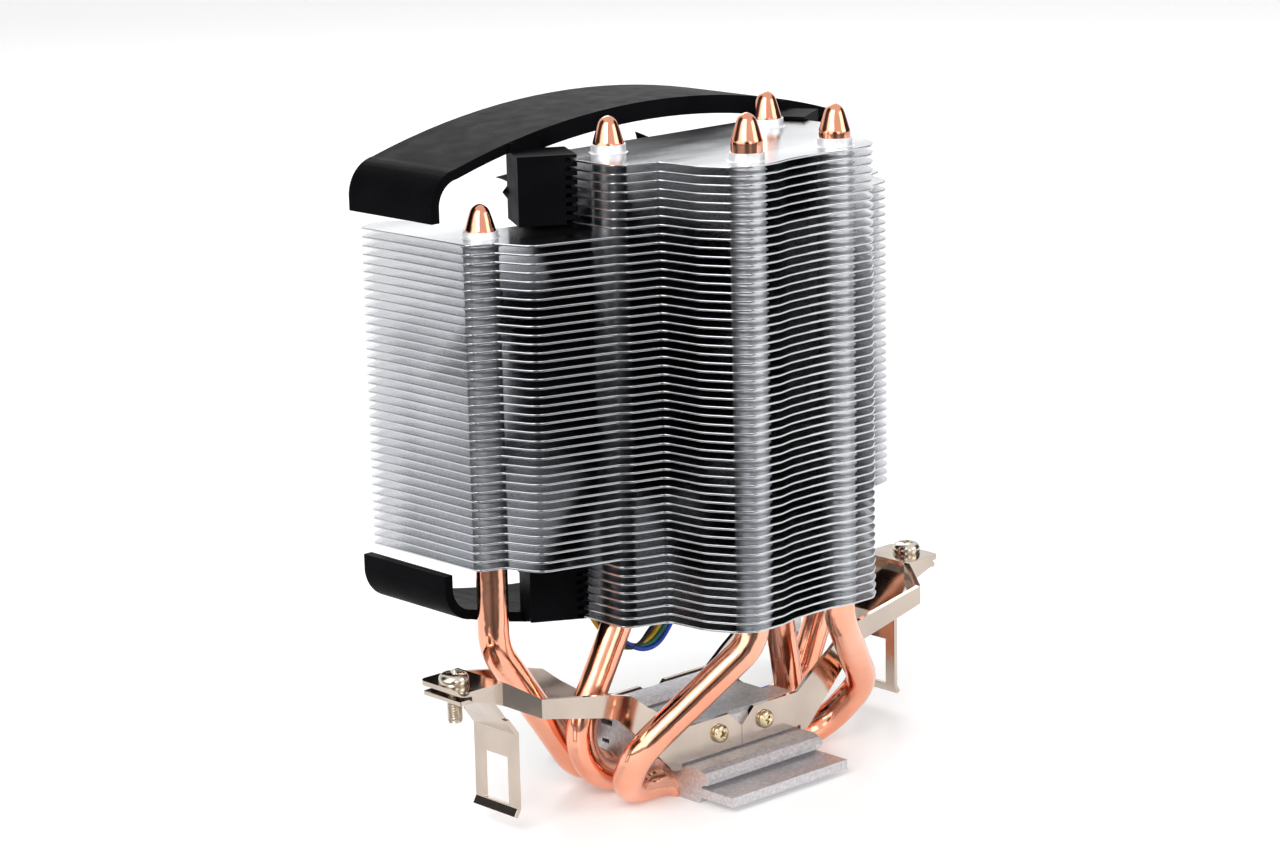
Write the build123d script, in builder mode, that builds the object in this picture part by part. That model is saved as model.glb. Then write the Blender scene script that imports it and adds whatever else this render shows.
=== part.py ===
"""Tower cooler for a processor: a stack of thin fins on three U-shaped heat pipes, a direct-contact
base with two sprung clip arms, and an open fan held by a moulded comb frame.

Millimetres, +Z up. The origin is the middle of the base's contact face. The fan is on the +Y side
and blows towards -Y through the fins. X runs along the base and the clips.
"""

import os
from math import cos, pi, radians, sin, sqrt

from build123d import *

os.makedirs("parts", exist_ok=True)

# ---- Driving dimensions -------------------------------------------------------------------------

PIPE_R = 3.0
PIPE_SPACING = 8.3  # the three pipes side by side in the base
PIPE_AXIS_Z = 3.0
LEG_FRONT = (11.5, -28.6)  # where each pair of legs stands in plan, right-hand leg
LEG_MIDDLE = (20.8, -1.3)
LEG_REAR = (47.2, 5.1)
TIP_FRONT_LEFT = 134.3
TIP_FRONT_RIGHT = 133.4
TIP_MIDDLE = 132.3
TIP_REAR = 118.5
TIP_CONE = 5.8
TIP_R = 1.5

FIN_T = 0.4
FIN_PITCH = 1.65
FIN_TOP_Z = 125.5  # upper face of the highest fin
NARROW_FINS = 8  # above the wide fins, and again below them
WIDE_FINS = 38

BASE_HALF_LENGTH = 15.75
BASE_SIDE_Y = 12.2  # upright sides that carry the clip arms
SOLE_Y = 17.0
FLANGE_Y = 26.4
SHELF_Z = 6.7
SADDLE_Z = 14.0
PIPE_BED_W = 7.0  # pipes are pressed to a D shape in the base
PIPE_BED_H = 4.6

SHEET = 0.9  # clip arms and hook plates
ARM_Y = BASE_SIDE_Y + SHEET / 2
TAB_Z = 31.2
TAB_HALF_W = 6.5
TAB_INNER_X = 55.0
TAB_OUTER_X = 64.6
ARM_SCREW_X = 6.2
ARM_SCREW_Z = 10.9
ARM_SCREW_R = 0.9
ARM_SCREW_HEAD_R = 1.85
ARM_SCREW_DEPTH = 1.6  # into the base

HOOK_X = 51.2  # inner face of the upright hook plate
HOOK_HALF_W = 6.05
HOOK_BOTTOM_Z = 3.9
HOOK_TOP_Z = 29.3
WINDOW_HALF_W = 3.5
WINDOW_Z = (5.7, 15.2)
TENSION_X = 61.5
TENSION_SCREW_R = 1.45
TENSION_HOLE_R = 1.5
TENSION_HEAD_R = 2.85
TENSION_HEAD_H = 2.1
TENSION_END_Z = 23.4

FAN_Z = 81.8  # height of the fan's axis, along Y
BAND_Y = (9.2, 33.4)
BAND_T = 1.9
BAND_RISE = 49.15  # centre line of the band above the fan's axis, at the middle
BAND_SHOULDER = (49.0, 42.0)  # where the band's arch meets its corner, from the axis
BAND_CORNER_R = 6.0
BAND_END = (54.3, 33.4)
LIP_HALF_W = 35.0
LIP_DEPTH = 1.2
LIP_WIDTH = 2.0  # along Y
STRUT_Y = (9.9, 12.6)
STRUT_W = 4.6
LEG_END_RISE = 31.5  # legs stop this far above and below the fan's axis

MOTOR_BASE_R = 19.5
BOSS_R = 4.2
BEARING_R = 3.0
SHAFT_R = 1.5
STATOR_R = 14.8
HUB_R = 20.0
HUB_Y = (14.2, 32.0)
HUB_WALL = 1.6
BLADES = 7
BLADE_TIP_R = 41.5
BLADE_T = 1.5

LEAD_R = 1.15  # a bundle of four thin wires

# ---- Shared shapes ------------------------------------------------------------------------------


def pipe_bed():
    """D-shaped outline of a pressed pipe, flat side down, centred over its own width."""
    half = PIPE_BED_W / 2
    with BuildSketch() as outline:
        with BuildLine():
            flat = Line((-half + 0.5, 0), (half - 0.5, 0))
            right = ThreePointArc(flat @ 1, (half, 1.4), (half - 0.5, 2.9))
            crown = ThreePointArc(right @ 1, (0, PIPE_BED_H), (-half + 0.5, 2.9))
            ThreePointArc(crown @ 1, (-half, 1.4), flat @ 0)
        make_face()
    return outline.sketch


def heat_pipe(row_y, left, right, left_tip, right_tip):
    """One U-shaped pipe: a D-shaped bed in the base and two bent legs with drawn, sealed tips.

    left and right are lists of (point, radius): the corners of each leg from the base upwards.
    """
    with BuildPart() as pipe:
        with BuildSketch(Plane.YZ.offset(-BASE_HALF_LENGTH)):
            with Locations((row_y, 0)):
                add(pipe_bed())
        extrude(amount=2 * BASE_HALF_LENGTH)
        for side, corners, tip in ((-1, left, left_tip), (1, right, right_tip)):
            exit_x = side * (BASE_HALF_LENGTH + 2)
            with BuildSketch(Plane.YZ.offset(side * BASE_HALF_LENGTH)):
                with Locations((row_y, 0)):
                    add(pipe_bed())
            with BuildSketch(Plane.YZ.offset(exit_x)):
                with Locations((row_y, PIPE_AXIS_Z)):
                    Circle(PIPE_R)
            loft()
            leg = corners[-1][0]
            shoulder = (leg[0], leg[1], tip - TIP_CONE)
            points = [(exit_x, row_y, PIPE_AXIS_Z), *(point for point, _ in corners), shoulder]
            with BuildLine() as route:
                FilletPolyline(*points, radius=[radius for _, radius in corners])
            with BuildSketch(Plane(origin=route.line @ 0, z_dir=route.line % 0)):
                Circle(PIPE_R)
            sweep(path=route.line)
            with BuildSketch(Plane(origin=(leg[0], leg[1], 0), x_dir=(1, 0, 0), z_dir=(0, -1, 0))):
                with BuildLine():
                    Polyline(
                        (TIP_R - 0.75, tip),
                        (0, tip),
                        (0, tip - TIP_CONE),
                        (PIPE_R, tip - TIP_CONE),
                        (TIP_R, tip - 1.0),
                    )
                    ThreePointArc((TIP_R, tip - 1.0), (TIP_R - 0.22, tip - 0.3), (TIP_R - 0.75, tip))
                make_face()
            revolve(axis=Axis((leg[0], leg[1], 0), (0, 0, 1)))
    return pipe


def fin_outline(wide):
    """Plan of a fin. The narrow ones end at the notched waist, the wide ones have wings."""
    front = [
        (0, -32.8),
        (5, -33.0),
        (9, -34.0),
        (15.6, -34.0),
        (18.8, -31.6),
        (21.6, -26.2),
        (22.6, -17.0),
        (29.0, -15.0),
        (31.0, -13.3),
    ]
    if wide:
        side = [(47.0, -9.0), (49.6, -1.6), (54.4, 0.2), (54.9, 31.0), (49.5, 33.2), (45.4, 30.6)]
        back = [(43.6, 15.0), (39.0, 9.6), (27.0, 6.9), (0, 6.5)]
    else:
        side = [(31.0, -2.2)]
        back = [(25.9, 6.9), (0, 6.5)]
    half = front + side + back
    with BuildSketch() as outline:
        with BuildLine():
            Polyline(*half)
            Polyline(*[(-x, y) for x, y in reversed(half)])
        make_face()
        # Each collar's hole is a square that touches the pipe on four sides.
        legs = [LEG_FRONT, LEG_MIDDLE] + ([LEG_REAR] if wide else [])
        with Locations(*[(side * x, y) for x, y in legs for side in (-1, 1)]):
            Rectangle(2 * PIPE_R, 2 * PIPE_R, mode=Mode.SUBTRACT)
    return outline.sketch


def fin_stack(wide, top_z, count):
    """Separate level fins, one pitch apart, from top_z down."""
    with BuildPart() as stack:
        for level in range(count):
            with BuildSketch(Plane.XY.offset(top_z - FIN_T - level * FIN_PITCH)):
                add(fin_outline(wide))
            extrude(amount=FIN_T)
    return stack


# ---- Base ---------------------------------------------------------------------------------------

half_profile = [
    (0, 0),
    (SOLE_Y, 0),
    (SOLE_Y + 0.8, 1.3),
    (FLANGE_Y, 1.3),
    (FLANGE_Y, 3.2),
    (SOLE_Y + 0.8, 3.2),
    (SOLE_Y + 1.2, 3.8),
    (SOLE_Y + 2.6, 4.1),
    (SOLE_Y + 2.7, 5.1),
    (SOLE_Y + 1.7, 6.2),
    (SOLE_Y + 0.4, SHELF_Z),
    (BASE_SIDE_Y, SHELF_Z),
    (BASE_SIDE_Y, SADDLE_Z - 0.6),
    (BASE_SIDE_Y - 0.8, SADDLE_Z),
    (5.8, SADDLE_Z),
    (5.2, SADDLE_Z - 1.2),
    (0, SADDLE_Z - 1.2),
]

with BuildPart() as base_block:
    with BuildSketch(Plane.YZ.offset(-BASE_HALF_LENGTH)):
        with BuildLine():
            Polyline(*half_profile)
            Polyline(*[(-y, z) for y, z in reversed(half_profile)])
        make_face()
        # extrusion channels that run the length of the block
        with Locations((-8.9, 10.5), (8.9, 10.5)):
            Rectangle(3.2, 1.1, mode=Mode.SUBTRACT)
        with Locations((-9.3, 6.6), (9.3, 6.6)):
            Rectangle(2.0, 0.8, mode=Mode.SUBTRACT)
        with Locations((-PIPE_SPACING, 0), (0, 0), (PIPE_SPACING, 0)):
            add(pipe_bed(), mode=Mode.SUBTRACT)
    extrude(amount=2 * BASE_HALF_LENGTH)
    for side in (-1, 1):
        with BuildSketch(Plane((0, side * BASE_SIDE_Y, ARM_SCREW_Z), (1, 0, 0), (0, side, 0))):
            with Locations((-ARM_SCREW_X, 0), (ARM_SCREW_X, 0)):
                Circle(ARM_SCREW_R)
        extrude(amount=-ARM_SCREW_DEPTH, mode=Mode.SUBTRACT)

# ---- Heat pipes ---------------------------------------------------------------------------------

front_x, front_y = LEG_FRONT
middle_x, middle_y = LEG_MIDDLE
rear_x, rear_y = LEG_REAR

heat_pipe_front = heat_pipe(
    -PIPE_SPACING,
    [
        ((-27.5, -PIPE_SPACING, PIPE_AXIS_Z), 8.0),
        ((-31.0, -16.5, 13.5), 9.0),
        ((-front_x, front_y, 34.0), 9.0),
    ],
    [
        ((27.5, -PIPE_SPACING, PIPE_AXIS_Z), 8.0),
        ((31.0, -16.5, 13.5), 9.0),
        ((front_x, front_y, 34.0), 9.0),
    ],
    TIP_FRONT_LEFT,
    TIP_FRONT_RIGHT,
)
heat_pipe_middle = heat_pipe(
    0,
    [((-38.0, 0, PIPE_AXIS_Z), 11.0), ((-middle_x, middle_y, 35.5), 9.0)],
    [((27.6, 0, PIPE_AXIS_Z), 7.5), ((middle_x, middle_y, 35.0), 9.0)],
    TIP_MIDDLE,
    TIP_MIDDLE,
)
heat_pipe_rear = heat_pipe(
    PIPE_SPACING,
    [((-23.8, PIPE_SPACING, PIPE_AXIS_Z), 11.0), ((-rear_x, rear_y, 33.5), 10.0)],
    [
        ((28.0, PIPE_SPACING, PIPE_AXIS_Z), 12.0),
        ((37.6, 7.5, 8.4), 8.0),
        ((rear_x, rear_y, 35.5), 10.0),
    ],
    TIP_REAR,
    TIP_REAR,
)

# ---- Fins ---------------------------------------------------------------------------------------

wide_top_z = FIN_TOP_Z - NARROW_FINS * FIN_PITCH
lower_top_z = wide_top_z - WIDE_FINS * FIN_PITCH

fins_top = fin_stack(False, FIN_TOP_Z, NARROW_FINS)
fins_wide = fin_stack(True, wide_top_z, WIDE_FINS)
fins_bottom = fin_stack(False, lower_top_z, NARROW_FINS)

# ---- Clip arms ----------------------------------------------------------------------------------

# Side view of an arm: flat on the base, rising past its corner, level at the tab.
arm_side = [
    (0.05, 7.2),
    (16.3, 7.2),
    (16.3, 6.1),
    (18.3, 6.1),
    (31.7, 19.4),
    (34.6, 20.8),
    (HOOK_X, 24.6),
    (TAB_INNER_X, 26.6),
    (62.6, TAB_Z - 1.9),
    (62.6, TAB_Z),
    (TAB_INNER_X, TAB_Z),
    (HOOK_X, 28.4),
    (34.0, 25.2),
    (29.0, 23.8),
    (24.8, 20.6),
    (19.9, 17.4),
    (15.6, 14.2),
    (3.4, 14.2),
    (0.05, 11.0),
]

with BuildPart() as clip_arm_right:
    # the strip in plan, folded round the tab on both sides, then trimmed to its side view
    with BuildSketch():
        for side in (-1, 1):
            with BuildLine():
                Polyline(
                    (0.05, side * ARM_Y),
                    (HOOK_X, side * ARM_Y),
                    (TAB_INNER_X, side * (TAB_HALF_W - SHEET / 2)),
                    (62.6, side * (TAB_HALF_W - SHEET / 2)),
                )
            trace(line_width=SHEET)
    extrude(amount=40)
    with BuildSketch(Plane.XZ.offset(-20)):
        with BuildLine():
            Polyline(*arm_side, close=True)
        make_face()
    extrude(amount=40, mode=Mode.INTERSECT)
    with BuildSketch(Plane.XY.offset(TAB_Z - SHEET)):
        with Locations(((TAB_INNER_X + TAB_OUTER_X) / 2, 0)):
            RectangleRounded(TAB_OUTER_X - TAB_INNER_X, 2 * TAB_HALF_W, 1.6)
        with Locations((TENSION_X, 0)):
            Circle(TENSION_HOLE_R, mode=Mode.SUBTRACT)
    extrude(amount=SHEET)
    with BuildSketch(Plane.XZ.offset(-BASE_SIDE_Y - SHEET)):
        with Locations((ARM_SCREW_X, ARM_SCREW_Z)):
            Circle(ARM_SCREW_R)
    extrude(amount=2 * (BASE_SIDE_Y + SHEET), mode=Mode.SUBTRACT)

with BuildPart() as clip_arm_left:
    mirror(clip_arm_right.part, about=Plane.YZ)

# ---- Hook plates --------------------------------------------------------------------------------

hook_mid_x = HOOK_X + SHEET / 2
hook_plan_w = 2 * HOOK_HALF_W

with BuildPart() as hook_plate_right:
    # side view of the folded sheet: threaded top, slanted neck, upright plate, turned-out lip
    with BuildSketch(Plane.XZ.offset(-HOOK_HALF_W)):
        with BuildLine():
            Polyline(
                (TENSION_X + 2.9, HOOK_TOP_Z - SHEET / 2),
                (58.0, HOOK_TOP_Z - SHEET / 2),
                (hook_mid_x, 20.2),
                (hook_mid_x, 5.4),
                (hook_mid_x + 0.9, HOOK_BOTTOM_Z),
            )
        trace(line_width=SHEET)
    extrude(amount=hook_plan_w)
    # the top and the neck are narrower, so that they slide up between the tab's folded sides
    with BuildSketch(Plane.XY.offset(23.5)):
        for side in (-1, 1):
            with Locations((58.5, side * (TAB_HALF_W - SHEET - 0.25 + 1))):
                Rectangle(20, 2)
    extrude(amount=10, mode=Mode.SUBTRACT)
    with BuildSketch(Plane.YZ.offset(HOOK_X - 1)):
        with Locations((0, sum(WINDOW_Z) / 2)):
            Rectangle(2 * WINDOW_HALF_W, WINDOW_Z[1] - WINDOW_Z[0])
    extrude(amount=4, mode=Mode.SUBTRACT)
    with BuildSketch(Plane.XY.offset(HOOK_TOP_Z - 2)):
        with Locations((TENSION_X, 0)):
            Circle(TENSION_HOLE_R)
    extrude(amount=4, mode=Mode.SUBTRACT)

with BuildPart() as hook_plate_left:
    mirror(hook_plate_right.part, about=Plane.YZ)

# ---- Tension screws and arm screws --------------------------------------------------------------


def pan_head_screw(axis_plane, head_r, head_h, shank_r, shank_length):
    """Pan-head screw. The plane's origin is under the head and its normal points out of the head."""
    with BuildPart() as screw:
        with BuildSketch(axis_plane.offset(-shank_length)):
            Circle(shank_r)
        extrude(amount=shank_length)
        with BuildSketch(axis_plane):
            Circle(head_r)
        extrude(amount=head_h)
        crown = screw.faces().sort_by(Axis(axis_plane.origin, axis_plane.z_dir))[-1]
        chamfer(crown.edges(), head_h * 0.4)
        with BuildSketch(axis_plane.offset(head_h * 0.35)):
            Rectangle(head_r * 1.1, head_r * 0.26)
            Rectangle(head_r * 0.26, head_r * 1.1)
        extrude(amount=head_h, mode=Mode.SUBTRACT)
    return screw


tension_screw_right = pan_head_screw(
    Plane(origin=(TENSION_X, 0, TAB_Z)),
    TENSION_HEAD_R,
    TENSION_HEAD_H,
    TENSION_SCREW_R,
    TAB_Z - TENSION_END_Z,
)
with BuildPart() as tension_screw_left:
    mirror(tension_screw_right.part, about=Plane.YZ)

ARM_SCREW_HEAD_H = 1.2
arm_screw = pan_head_screw(
    Plane.XY, ARM_SCREW_HEAD_R, ARM_SCREW_HEAD_H, ARM_SCREW_R, SHEET + ARM_SCREW_DEPTH
)

with BuildPart() as arm_screws:
    for side in (-1, 1):
        for x in (-ARM_SCREW_X, ARM_SCREW_X):
            under_head = (x, side * (BASE_SIDE_Y + SHEET), ARM_SCREW_Z)
            with Locations(Plane(origin=under_head, z_dir=(0, side, 0))):
                add(arm_screw.part)

# ---- Fan frame ----------------------------------------------------------------------------------


def band_line(way):
    """Centre line of an arched band: way is 1 for the top one, -1 for the bottom one."""
    end_x, end_rise = BAND_END
    shoulder_x, shoulder_rise = BAND_SHOULDER
    with BuildLine() as line:
        Line((-end_x, FAN_Z + way * end_rise), (-end_x, FAN_Z + way * (end_rise + 3.2)))
        RadiusArc(
            (-end_x, FAN_Z + way * (end_rise + 3.2)),
            (-shoulder_x, FAN_Z + way * shoulder_rise),
            way * BAND_CORNER_R,
        )
        ThreePointArc(
            (-shoulder_x, FAN_Z + way * shoulder_rise),
            (0, FAN_Z + way * BAND_RISE),
            (shoulder_x, FAN_Z + way * shoulder_rise),
        )
        RadiusArc(
            (shoulder_x, FAN_Z + way * shoulder_rise),
            (end_x, FAN_Z + way * (end_rise + 3.2)),
            way * BAND_CORNER_R,
        )
        Line((end_x, FAN_Z + way * (end_rise + 3.2)), (end_x, FAN_Z + way * end_rise))
    return line.line


# Plan of a comb leg: a square post turned to the chamfered rear corner of the fins.
leg_plan = [(29.9, -2.7), (24.9, 6.4), (34.5, 12.0), (39.6, 3.0)]
comb_slot_plan = [(28.4, -4.4), (22.6, 6.4), (26.4, 8.4), (31.9, -1.6)]
arch_rise = BAND_RISE - BAND_SHOULDER[1]
arch_r = (BAND_SHOULDER[0] ** 2 + arch_rise**2) / (2 * arch_rise)
leg_mid_x = 32.0
leg_top_rise = BAND_RISE - arch_r + sqrt(arch_r**2 - leg_mid_x**2)

with BuildPart() as fan_frame:
    for way in (-1, 1):
        with BuildSketch(Plane.XZ.offset(-BAND_Y[1])):
            add(band_line(way))
            trace(line_width=BAND_T)
        extrude(amount=BAND_Y[1] - BAND_Y[0])
        # raised lip along the near edge, on the band's inner side
        with BuildSketch(Plane.XZ.offset(-BAND_Y[0] - LIP_WIDTH)):
            with BuildLine():
                lip_r = arch_r - (BAND_T + LIP_DEPTH) / 2
                lip_end_rise = BAND_RISE - arch_r + sqrt(lip_r**2 - LIP_HALF_W**2)
                ThreePointArc(
                    (-LIP_HALF_W, FAN_Z + way * lip_end_rise),
                    (0, FAN_Z + way * (BAND_RISE - arch_r + lip_r)),
                    (LIP_HALF_W, FAN_Z + way * lip_end_rise),
                )
            trace(line_width=LIP_DEPTH + BAND_T / 2)
        extrude(amount=LIP_WIDTH)
        for side in (-1, 1):
            low, high = sorted((FAN_Z + way * LEG_END_RISE, FAN_Z + way * leg_top_rise))
            with BuildSketch(Plane.XY.offset(low)):
                with BuildLine():
                    Polyline(*[(side * x, y) for x, y in leg_plan], close=True)
                make_face()
            extrude(amount=high - low)
            # strut from the motor's base to the leg
            corner = (side * 33.5, FAN_Z + way * 38.0)
            with BuildSketch(Plane.XZ.offset(-STRUT_Y[1])):
                with BuildLine():
                    Line((side * 12.0, FAN_Z + way * 13.6), corner)
                trace(line_width=STRUT_W)
            extrude(amount=STRUT_Y[1] - STRUT_Y[0])
    with BuildSketch(Plane.XZ.offset(-STRUT_Y[1])):
        with Locations((0, FAN_Z)):
            Circle(MOTOR_BASE_R)
    extrude(amount=STRUT_Y[1] - STRUT_Y[0])
    with BuildSketch(Plane.XZ.offset(-HUB_Y[0] + 0.8)):
        with Locations((0, FAN_Z)):
            Circle(MOTOR_BASE_R)
            Circle(MOTOR_BASE_R - 1, mode=Mode.SUBTRACT)
    extrude(amount=HUB_Y[0] - 0.8 - STRUT_Y[1])
    with BuildSketch(Plane.XZ.offset(-25.5)):
        with Locations((0, FAN_Z)):
            Circle(BOSS_R)
    extrude(amount=25.5 - STRUT_Y[1])
    with BuildSketch(Plane.XZ.offset(-25.5)):
        with Locations((0, FAN_Z)):
            Circle(BEARING_R)
    extrude(amount=25.5 - STRUT_Y[1], mode=Mode.SUBTRACT)
    # notch in the lower band's near edge, where the lead comes out
    with BuildSketch(Plane.XY.offset(FAN_Z - BAND_RISE - BAND_T)):
        with Locations((-20.8, BAND_Y[0])):
            Rectangle(6.0, 3.8)
    extrude(amount=3 * BAND_T, mode=Mode.SUBTRACT)
    # comb slots, one for each narrow fin's corner
    for stack_top in (FIN_TOP_Z, lower_top_z):
        for level in range(NARROW_FINS):
            slot_z = stack_top - FIN_T / 2 - level * FIN_PITCH
            with BuildSketch(Plane.XY.offset(slot_z - FIN_T)):
                for side in (-1, 1):
                    with BuildLine():
                        Polyline(*[(side * x, y) for x, y in comb_slot_plan], close=True)
                    make_face()
            extrude(amount=2 * FIN_T, mode=Mode.SUBTRACT)

# ---- Motor --------------------------------------------------------------------------------------


def ring(outer, inner, y_from, y_to):
    """A ring on the fan's axis between two stations along Y."""
    with BuildPart() as piece:
        with BuildSketch(Plane.XZ.offset(-y_to)):
            with Locations((0, FAN_Z)):
                Circle(outer)
                Circle(inner, mode=Mode.SUBTRACT)
        extrude(amount=y_to - y_from)
    return piece


def rod(radius, y_from, y_to):
    """A round bar on the fan's axis between two stations along Y."""
    with BuildPart() as piece:
        with BuildSketch(Plane.XZ.offset(-y_to)):
            with Locations((0, FAN_Z)):
                Circle(radius)
        extrude(amount=y_to - y_from)
    return piece


motor_pcb = ring(17.0, BOSS_R, STRUT_Y[1], STRUT_Y[1] + 1.0)

POLE_W = 3.2
CORE_Y = (15.6, 24.4)

with BuildPart() as stator_core:
    with BuildSketch(Plane.XZ.offset(-CORE_Y[1])):
        with Locations((0, FAN_Z)):
            Circle(STATOR_R)
            Circle(STATOR_R - 1.4, mode=Mode.SUBTRACT)
            with PolarLocations(STATOR_R, 4, start_angle=45):
                Rectangle(6, 3.4, mode=Mode.SUBTRACT)
            Rectangle(2 * STATOR_R - 1.5, POLE_W)
            Rectangle(POLE_W, 2 * STATOR_R - 1.5)
            Circle(6.4)
            Circle(BOSS_R, mode=Mode.SUBTRACT)
    extrude(amount=CORE_Y[1] - CORE_Y[0])

with BuildPart() as stator_coils:
    for turn in range(4):
        with BuildSketch(Plane.XZ.offset(-CORE_Y[1] - 1.1)):
            with Locations(Location((0, FAN_Z), 90 * turn)):
                with Locations((9.9, 0)):
                    RectangleRounded(6.2, 8.0, 1.0)
        extrude(amount=CORE_Y[1] - CORE_Y[0] + 2.2)
    with BuildSketch(Plane.XZ.offset(-CORE_Y[1])):
        with Locations((0, FAN_Z)):
            Rectangle(2 * STATOR_R, POLE_W)
            Rectangle(POLE_W, 2 * STATOR_R)
    extrude(amount=CORE_Y[1] - CORE_Y[0], mode=Mode.SUBTRACT)

bearing_sleeve = ring(BEARING_R, SHAFT_R + 0.03, 14.0, 25.3)

CLIP_Y = (13.1, 13.5)
SHAFT_Y = (12.8, 30.9)

shaft_bar = rod(SHAFT_R, *SHAFT_Y)
clip_groove = ring(SHAFT_R, SHAFT_R - 0.3, *CLIP_Y)

with BuildPart() as rotor_shaft:
    add(shaft_bar.part)
    add(clip_groove.part, mode=Mode.SUBTRACT)

retaining_clip = ring(2.6, SHAFT_R - 0.3, *CLIP_Y)
yoke_wall = ring(HUB_R - HUB_WALL, HUB_R - HUB_WALL - 0.8, 14.7, 29.6)
yoke_plate = ring(HUB_R - HUB_WALL, 4.0, 29.6, HUB_Y[1] - HUB_WALL)

with BuildPart() as rotor_yoke:
    add(yoke_wall.part)
    add(yoke_plate.part)

magnet_ring = ring(HUB_R - HUB_WALL - 0.8, STATOR_R + 0.5, 15.2, 27.0)

# ---- Impeller -----------------------------------------------------------------------------------


def blade_section(radius, chord, pitch_deg, lag_deg, camber):
    """Cambered strip across a blade at one radius, on a plane square to the blade's own radius."""
    lag = radians(lag_deg)
    origin = (radius * sin(lag), sum(HUB_Y) / 2, FAN_Z + radius * cos(lag))
    plane = Plane(origin=origin, x_dir=(cos(lag), 0, -sin(lag)), z_dir=(sin(lag), 0, cos(lag)))
    tilt = radians(pitch_deg)
    along = (cos(tilt), sin(tilt))
    across = (-sin(tilt), cos(tilt))

    def at(u, v):
        return (u * along[0] + v * across[0], u * along[1] + v * across[1])

    half = chord / 2
    with BuildSketch(plane) as section:
        with BuildLine():
            low = ThreePointArc(at(-half, 0), at(0, camber), at(half, 0))
            high = ThreePointArc(at(half, BLADE_T), at(0, camber + BLADE_T), at(-half, BLADE_T))
            Line(low @ 1, high @ 0)
            Line(high @ 1, low @ 0)
        make_face()
    return section.sketch


with BuildPart() as blade:
    add(blade_section(HUB_R - 0.6, 19.0, 46, 0, 2.2))
    add(blade_section(31.0, 22.5, 38, -7, 2.0))
    add(blade_section(BLADE_TIP_R, 24.5, 31, -18, 1.6))
    loft()

with BuildPart() as impeller:
    add(ring(HUB_R, HUB_R - HUB_WALL, *HUB_Y))
    add(ring(HUB_R - HUB_WALL, SHAFT_R, HUB_Y[1] - HUB_WALL, HUB_Y[1]))
    add(rod(SHAFT_R, SHAFT_Y[1], HUB_Y[1]))
    add(ring(4.0, SHAFT_R, 27.6, HUB_Y[1] - HUB_WALL))
    for turn in range(BLADES):
        add(blade.part.rotate(Axis((0, 0, FAN_Z), (0, 1, 0)), turn * 360 / BLADES))


# ---- Lead ---------------------------------------------------------------------------------------

# The free lead, from the strut's end, sagging under the fins, then down to the hank behind the base.
lead_points = [
    (-27.46, 11.25, 47.17),
    (-23.5, 11.25, 43.65),
    (-21.0, 8.7, 36.8),
    (-18.0, 7.0, 31.2),
    (-11.5, 5.4, 26.4),
    (-1.0, 6.4, 25.2),
    (8.5, 10.5, 26.2),
    (19.0, 15.0, 26.8),
    (32.0, 19.0, 26.4),
    (46.0, 21.5, 25.2),
    (57.5, 25.0, 17.0),
    (56.0, 28.55, 1.25),
    (38.0, 28.55, 1.25),
]
HANK_X = (6.0, 38.0)
HANK_Y = (27.4, 39.5)
HANK_H = 4.7  # two turns, one on the other
CONNECTOR = (12.0, 10.4, 5.6)
TAIL = 7.0  # lead from the hank to the connector
TAIL_Y = HANK_Y[1] - LEAD_R


def corner_radius(before, corner, after):
    """The arc that a corner of the route takes: as large as its two runs allow."""
    run_in, run_out = Vector(*corner) - Vector(*before), Vector(*after) - Vector(*corner)
    half_turn = radians(run_in.get_angle(run_out) / 2)
    return 0.45 * min(run_in.length, run_out.length) * cos(half_turn) / sin(half_turn)


lead_radii = [corner_radius(*lead_points[i - 1 : i + 2]) for i in range(1, len(lead_points) - 1)]
print("lead radii", [round(radius, 1) for radius in lead_radii])

with BuildPart() as fan_lead:
    with BuildLine() as lead_route:
        FilletPolyline(*lead_points, radius=lead_radii)
    with BuildSketch(Plane(origin=lead_route.line @ 0, z_dir=lead_route.line % 0)):
        Circle(LEAD_R)
    sweep(path=lead_route.line)
lead_length = sum(edge.length for edge in lead_route.edges())
print("lead length", round(lead_length, 1))
print("lead volume", round(fan_lead.part.volume, 1), "against", round(pi * LEAD_R**2 * lead_length, 1))

with BuildPart() as fan_lead_hank:
    with BuildSketch():
        with Locations((sum(HANK_X) / 2, sum(HANK_Y) / 2)):
            RectangleRounded(HANK_X[1] - HANK_X[0], HANK_Y[1] - HANK_Y[0], 4.0)
    extrude(amount=HANK_H)

with BuildPart() as fan_connector:
    with BuildSketch(Plane.XY):
        with Locations((HANK_X[1] + TAIL + CONNECTOR[0] / 2, TAIL_Y)):
            Rectangle(*CONNECTOR[:2])
    extrude(amount=CONNECTOR[2])

with BuildPart() as fan_lead_tail:
    with BuildSketch(Plane.YZ.offset(HANK_X[1] - 3)):
        with Locations((TAIL_Y, CONNECTOR[2] / 2)):
            Circle(LEAD_R)
    extrude(amount=TAIL + 3)
    add(fan_lead_hank.part, mode=Mode.SUBTRACT)

# ---- Output -------------------------------------------------------------------------------------

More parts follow.
